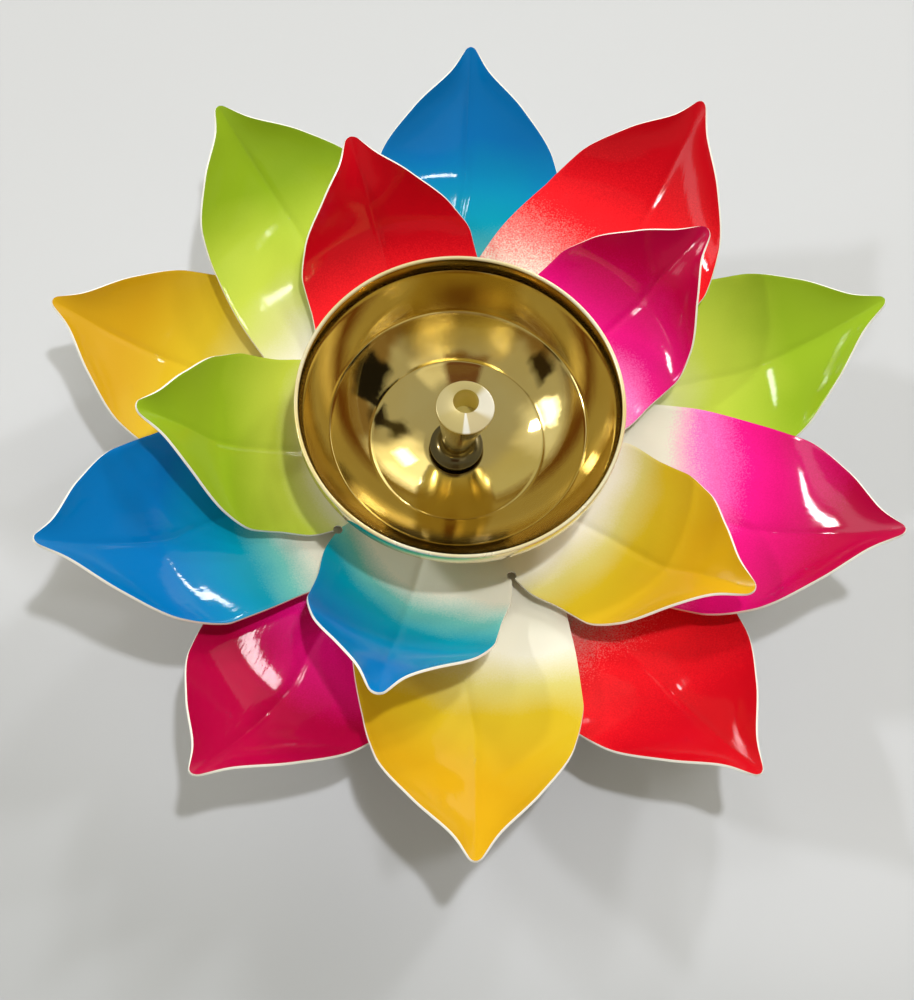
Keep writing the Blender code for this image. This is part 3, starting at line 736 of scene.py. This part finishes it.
def petalPlace(shape, radius, across, direction, bends):
    slot = shape["slotRadius"]
    sector = math.pi / petalCount
    along = max((radius - slot) / (shape["reach"] - slot), 0.0)
    if radius <= slot:
        share = max((radius - sheet["hubFlat"]) / (slot - sheet["hubFlat"]), 0.0)
        dished = share * share * (2.0 - share)
        halfAngle = sector
        rise = shape["rise"][0][1] * mm * dished
        lift = shape["edgeLift"][0][1] * mm * dished
    else:
        halfAngle = math.asin(petalHalfWidth(shape, radius) / radius)
        rise = smoothThrough(shape["rise"], along) * mm
        lift = smoothThrough(shape["edgeLift"], along) * mm
    lean, tilt, twist, sweep, drawIn = bends
    x = radius * math.cos(across * halfAngle)
    y = radius * math.sin(across * halfAngle)
    z = rise + lift * (sheet["crease"] * abs(across) + (1.0 - sheet["crease"]) * across * across)
    fade = min(max((radius - 1.2 * sheet["hubFlat"]) / sheet["hubFlat"], 0.0), 1.0)
    fade *= min((1.0 - along) * 4.0, 1.0)
    z -= sheet["foldDepth"] * fade * math.exp(-math.hypot(y, sheet["veinWidth"]) / sheet["foldWidth"])
    z -= sheet["veinDepth"] * fade * math.exp(-((y / sheet["veinWidth"]) ** 2))
    z += y * math.radians(twist) * along
    z += (x - slot) * math.sin(math.radians(tilt)) * min(2.0 * along, 1.0)
    x -= drawIn * mm * along * along
    y += sweep * mm * along * along
    bent = along * along * (3.0 - 2.0 * along)
    angle = direction + math.radians(lean) * min(2.0 * bent, 1.0)
    turnedX = x * math.cos(angle) - y * math.sin(angle)
    turnedY = x * math.sin(angle) + y * math.cos(angle)
    return Vector((turnedX, turnedY, z))


def rowRadius(shape, share):
    if share < sheet["hubShare"]:
        t = share / sheet["hubShare"]
        return sheet["holeRadius"] + (shape["slotRadius"] - sheet["holeRadius"]) * t
    t = (share - sheet["hubShare"]) / (1.0 - sheet["hubShare"])
    crowded = 1.0 - (1.0 - t) ** sheet["rowCrowd"]
    return shape["slotRadius"] + (shape["reach"] - shape["slotRadius"]) * crowded


def makeTier(name, tier):
    shape = tier["shape"]
    builder = bmesh.new()
    uvLayer = builder.loops.layers.uv.new("UVMap")
    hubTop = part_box(tier["node"])[0].z + sheet["thickness"]
    for petal in range(petalCount):
        direction = math.radians(tier["turn"]) - petal * math.tau / petalCount
        made = bmesh.ops.create_grid(
            builder, x_segments=sheet["columns"], y_segments=sheet["rows"], size=1.0,
        )
        own = set(made["verts"])
        places = {}
        for vert in made["verts"]:
            spread = vert.co.x
            across = math.copysign(abs(spread) ** sheet["columnCrowd"], spread)
            radius = rowRadius(shape, (vert.co.y + 1.0) / 2.0)
            places[vert] = (across, radius)
        for face in builder.faces:
            if face.verts[0] in own:
                face.material_index = petal
                for loop in face.loops:
                    across, radius = places[loop.vert]
                    loop[uvLayer].uv = ((across + 1.0) / 2.0, radius / shape["reach"])
        for vert, (across, radius) in places.items():
            vert.co = petalPlace(shape, radius, across, direction, tier["bends"][petal])
            vert.co.z += hubTop
    bmesh.ops.remove_doubles(builder, verts=builder.verts[:], dist=1e-6)
    bmesh.ops.recalc_face_normals(builder, faces=builder.faces[:])
    if sum(face.normal.z for face in builder.faces) < 0.0:
        bmesh.ops.reverse_faces(builder, faces=builder.faces[:])
    finishes = []
    for colour, (start, end, slant) in zip(colourOrder, tier["sprays"]):
        finishes.append(enamelPaint(f"{name}_{colour}Enamel", sprays[colour], start, end, slant))
    finishes.append(creamPaint(f"{name}_creamEdge", enamel["edge"]))
    piece = newObject(name, builder, finishes)
    wall = piece.modifiers.new("sheet", "SOLIDIFY")
    wall.thickness = sheet["thickness"]
    wall.offset = -1.0
    wall.use_even_offset = True
    wall.material_offset = petalCount
    wall.material_offset_rim = petalCount
    pins = bmesh.new()
    for petal in range(petalCount):
        angle = math.radians(tier["turn"]) - (petal + 0.5) * math.tau / petalCount
        place = Vector((math.cos(angle), math.sin(angle), 0.0)) * shape["slotRadius"]
        pin = bmesh.ops.create_cone(
            pins, cap_ends=True, segments=32, radius1=sheet["relief"], radius2=sheet["relief"],
            depth=sheet["reliefPin"],
        )
        bmesh.ops.translate(pins, verts=pin["verts"], vec=place + Vector((0.0, 0.0, hubTop)))
    cutter = newObject(name + "Pins", pins, [finishes[-1]])
    relief = piece.modifiers.new("relief", "BOOLEAN")
    relief.solver = "EXACT"
    relief.object = cutter
    edge = piece.modifiers.new("edge", "BEVEL")
    edge.width = sheet["edgeRound"]
    edge.segments = 2
    edge.limit_method = "ANGLE"
    edge.angle_limit = math.radians(50.0)
    applyAll(piece)
    bpy.data.objects.remove(cutter)
    piece.data.shade_smooth()
    piece.data.set_sharp_from_angle(angle=math.radians(60.0))
    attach(piece, tier["body"])
    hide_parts(tier["node"])
    print("made", name, len(piece.data.polygons), "faces")
    return piece


# Bowl

bowlShape = {
    "rimRadius": 38.0 * mm,
    "height": 28.6 * mm,
    "wall": 1.6 * mm,
    "band": 4.0 * mm,
    "bandFlare": 0.1 * mm,
    "bossRadius": 12.0 * mm,
    "bossRound": 0.4 * mm,
    "bossFoot": 0.3 * mm,  # from the boss to the round outside
    "seatRadius": 7.4 * mm,
    "grooveDepth": 0.06 * mm,
    "grooveWidth": 0.32 * mm,
    "grooves": (20.7 * mm, 30.2 * mm),
    "lipWidth": 0.9 * mm,
    "lipRound": 0.4 * mm,
    "holeRadius": 3.3 * mm,
    "steps": 192,
}
dishDepth = bowlShape["height"] - bowlShape["band"]
dishMouth = bowlShape["rimRadius"] - bowlShape["bandFlare"]
dishOuter = (dishMouth ** 2 + dishDepth ** 2) / (2.0 * dishDepth)
dishInner = dishOuter - bowlShape["wall"]
dishMiddle = rimHeight - bowlShape["height"] + dishOuter
seatHeight = dishMiddle - math.sqrt(dishInner ** 2 - bowlShape["seatRadius"] ** 2)


def dishAngle(radius, curve):
    return -math.degrees(math.acos(radius / curve))


def dishRun(fromRadius, toRadius, steps):
    start, end = dishAngle(fromRadius, dishInner), dishAngle(toRadius, dishInner)
    return arcPoints((0.0, dishMiddle), dishInner, start, end, steps)


def grooveRun(radius):
    half = bowlShape["grooveWidth"] / 2.0
    points = []
    for step in range(-4, 5):
        share = step / 4.0
        depth = bowlShape["grooveDepth"] * (1.0 + math.cos(math.pi * share)) / 2.0
        angle = dishAngle(radius - half * share, dishInner)
        points += arcPoints((0.0, dishMiddle), dishInner + depth, angle, 0.0, 1)[:1]
    return points


def makeBowl():
    b = bowlShape
    bandBottom = rimHeight - b["band"]
    mouth = math.sqrt(dishInner ** 2 - (dishMiddle - bandBottom) ** 2)
    half = b["grooveWidth"] / 2.0
    lipMiddle = rimHeight - b["lipRound"]
    outerLip = b["rimRadius"] - b["lipRound"]
    innerLip = b["rimRadius"] - b["lipWidth"] + b["lipRound"]
    lip = arcPoints((outerLip, lipMiddle), b["lipRound"], 0.0, 90.0, 8)
    lip += arcPoints((innerLip, lipMiddle), b["lipRound"], 90.0, 180.0, 8)
    profile = lip + [(mouth, bandBottom + half), (mouth + b["grooveDepth"], bandBottom)]
    low, high = b["grooves"]
    profile += dishRun(mouth - half, high + half, 16)[:-1] + grooveRun(high)
    profile += dishRun(high - half, low + half, 16)[1:-1] + grooveRun(low)
    profile += dishRun(low - half, b["seatRadius"], 20)[1:]
    bottom = rimHeight - b["height"]
    profile += [(b["holeRadius"], seatHeight), (b["holeRadius"], bottom)]
    profile += [(b["bossRadius"] - b["bossRound"], bottom), (b["bossRadius"], bottom + b["bossRound"])]
    start = dishAngle(b["bossRadius"] + b["bossFoot"], dishOuter)
    end = dishAngle(dishMouth, dishOuter)
    profile += arcPoints((0.0, dishMiddle), dishOuter, start, end, 48)
    builder = spinProfile(profile, b["steps"], True)
    # the lip's faces take the painted highlight finish
    for face in builder.faces:
        if face.calc_center_median().z > rimHeight - b["lipRound"]:
            face.material_index = 1
    piece = newObject("oilBowl", builder, [turnedBrass("bowlBrass"), turnedBrass("paintedHighlightLip")])
    piece.data.set_sharp_from_angle(angle=math.radians(40.0))
    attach(piece, "bowl_body")
    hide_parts("bowl")
    print("made oilBowl", len(piece.data.polygons), "faces")
    return piece


# Wick post

postShape = {
    "topBelowRim": 1.9 * mm,
    "discRadius": 6.75 * mm,
    "discThickness": 0.9 * mm,
    "shoulderRadius": 5.5 * mm,
    "shoulderDrop": 7.0 * mm,
    "neckRadius": 3.3 * mm,
    "neckAboveFlange": 2.0 * mm,
    "flangeRadius": 6.4 * mm,
    "flangeThickness": 0.7 * mm,
    "studRadius": 3.0 * mm,
    "wickHole": 3.0 * mm,
    "wickDepth": 9.0 * mm,
    "wickOffset": 1.5 * mm,
    "lean": (1.2 * mm, -0.5 * mm),  # the stem is a little bent
    "edgeRound": 0.25 * mm,
    "holeRound": 0.15 * mm,
    "washerGap": 0.3 * mm,
    # where the painted shade of the flange starts, above the neck
    "paintedShadeAboveNeck": 1.2 * mm,
    "thread": 1.0 * mm,
    "threadDepth": 0.35 * mm,
    "plainStud": 1.0 * mm,  # under the flange, before the thread starts
    "studTip": 0.6 * mm,
    "studChamfer": 0.5 * mm,
    "steps": 128,
}


def makePost():
    p = postShape
    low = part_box("wick_post")[0]
    top = rimHeight - p["topBelowRim"]
    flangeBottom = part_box("seal_washer")[1].z + p["washerGap"]
    neck = flangeBottom + p["flangeThickness"] + p["neckAboveFlange"]
    edgeRound = p["edgeRound"]
    discBottom = top - p["discThickness"]
    profile = [(0.0, top), (p["discRadius"] - edgeRound, top)]
    profile += arcPoints((p["discRadius"] - edgeRound, top - edgeRound), edgeRound, 80.0, 0.0, 5)
    profile += [(p["discRadius"], discBottom + edgeRound), (p["discRadius"] - edgeRound, discBottom)]
    profile += [(p["shoulderRadius"], top - p["shoulderDrop"])]
    flare = p["flangeRadius"] - p["neckRadius"]
    for step in range(13):
        angle = math.radians(90.0 * step / 12.0)
        radius = p["neckRadius"] + flare * (1.0 - math.cos(angle))
        profile.append((radius, neck - p["neckAboveFlange"] * math.sin(angle)))
    profile += [(p["flangeRadius"], flangeBottom), (p["studRadius"], flangeBottom)]
    stud = flangeBottom - p["plainStud"]
    while stud - p["thread"] > low.z + p["studTip"]:
        profile.append((p["studRadius"], stud))
        profile.append((p["studRadius"] - p["threadDepth"], stud - p["thread"] / 2.0))
        stud -= p["thread"]
    profile += [(p["studRadius"], stud), (p["studRadius"] - p["studChamfer"], low.z), (0.0, low.z)]
    builder = spinProfile(profile, p["steps"], False)
    for face in builder.faces:
        if face.calc_center_median().z > top - edgeRound:
            face.material_index = 1
    for vert in builder.verts:
        lean = max(vert.co.z - neck, 0.0) / (top - neck)
        vert.co.x += p["lean"][0] * lean
        vert.co.y += p["lean"][1] * lean
    # the stem's finish carries the painted shade over the flange
    stem = turnedBrass("postBrass", neck + p["paintedShadeAboveNeck"])
    finishes = [stem, facedBrass("facedBrass", p["lean"]), turnedBrass("boredBrass")]
    piece = newObject("wickPost", builder, finishes)
    drill = bmesh.new()
    made = bmesh.ops.create_cone(
        drill, cap_ends=True, segments=64, radius1=p["wickHole"], radius2=p["wickHole"],
        depth=2.0 * p["wickDepth"],
    )
    bmesh.ops.translate(drill, verts=made["verts"], vec=(p["lean"][0], p["wickOffset"] + p["lean"][1], top))
    for face in drill.faces:
        face.material_index = 2
    cutter = newObject("wickDrill", drill, finishes)
    hole = piece.modifiers.new("hole", "BOOLEAN")
    hole.solver = "EXACT"
    hole.object = cutter
    edge = piece.modifiers.new("edge", "BEVEL")
    edge.width = p["holeRound"]
    edge.segments = 2
    edge.limit_method = "ANGLE"
    edge.angle_limit = math.radians(60.0)
    applyAll(piece)
    bpy.data.objects.remove(cutter)
    piece.data.shade_smooth()
    piece.data.set_sharp_from_angle(angle=math.radians(35.0))
    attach(piece, "post_body")
    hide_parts("wick_post")
    print("made wickPost", len(piece.data.polygons), "faces")
    return piece


# Foot

footShape = {
    "height": 10.2 * mm,
    "sheet": 0.8 * mm,
    "topRadius": 15.0 * mm,
    "skirtRadius": 23.0 * mm,
    "brimWidth": 5.0 * mm,
    "round": 3.0 * mm,
    "brimRound": 0.3 * mm,
    "underRound": 0.2 * mm,
    "holeRadius": 3.3 * mm,
    "steps": 128,
}


def makeFoot():
    f = footShape
    top, wall = f["height"], f["sheet"]
    brim = f["skirtRadius"] + f["brimWidth"]
    shoulder = (f["topRadius"], top - f["round"])
    profile = [(f["holeRadius"], top)] + arcPoints(shoulder, f["round"], 90.0, 20.0, 10)
    over, under = f["brimRound"], f["underRound"]
    profile += [(f["skirtRadius"], wall), (brim - over, wall), (brim, wall - over)]
    profile += [(brim, under), (brim - under, 0.0), (f["skirtRadius"] - wall, 0.0)]
    profile += arcPoints(shoulder, f["round"] - wall, 20.0, 90.0, 10)
    profile += [(f["holeRadius"], top - wall)]
    builder = spinProfile(profile, f["steps"], True)
    piece = newObject("pressedFoot", builder, [creamPaint("footEnamel", enamel["edge"])])
    piece.data.set_sharp_from_angle(angle=math.radians(40.0))
    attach(piece, "stand")
    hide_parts("foot")
    print("made pressedFoot", len(piece.data.polygons), "faces")


def finishHardware():
    steel = zincSteel("zincSteel")
    rubber = sealRubber("sealRubber")
    for node in ("foot_washer", "clamp_nut", "lower_spacer", "upper_spacer", "seal_washer"):
        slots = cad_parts[node].material_slots
        for slot in slots:
            slot.material = rubber if node == "seal_washer" else steel
    print("finished the clamping hardware")


bpy.context.scene.view_settings.view_transform = "Standard"
makeCamera()
makeRoom()
madeTiers = [makeTier(tierName, tierValues) for tierName, tierValues in tiers.items()]
makeLamps(madeTiers, [makeBowl(), makePost()])
makeFoot()
finishHardware()
